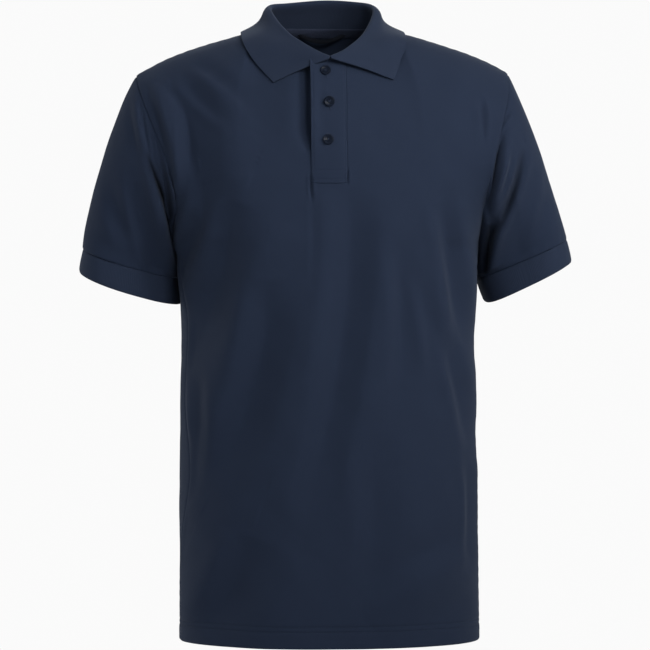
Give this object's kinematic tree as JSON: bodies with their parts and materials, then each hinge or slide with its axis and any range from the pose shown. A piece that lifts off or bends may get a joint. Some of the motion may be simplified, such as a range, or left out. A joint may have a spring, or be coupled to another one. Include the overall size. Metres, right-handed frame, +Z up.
{
  "type": "polo shirt",
  "caption": "Short-sleeved pique knit polo shirt with a flat-knit collar, a buttoned placket and rib cuffs, filled out as if worn and open at the neck, hem and cuffs.",
  "frame": {"origin": "midway between the two neck points, where the shoulder seams meet the collar; the wearer's shoulders and neck hold the shirt there", "axes": "+Z up, -Y out of the front, +X towards the wearer's left sleeve"},
  "size_m": [0.5805, 0.2413, 0.7624],
  "materials": {
    "pique": "matt cotton pique knit, dark navy",
    "rib": "matt flat-knit cotton rib, dark navy",
    "tape": "matt woven twill tape, near-black navy",
    "button": "polished moulded resin, dark navy"
  },
  "bodies": {
    "root": {"front_body": "pique", "back_body": "pique", "sleeve_right": "pique", "sleeve_left": "pique", "cuff_right": "rib", "cuff_left": "rib", "collar": "rib", "placket_top": "pique", "placket_under": "pique", "neck_tape": "tape", "hanger_loop": "tape", "button_1": "button", "button_2": "button", "button_3": "button"}
  },
  "joints": []
}
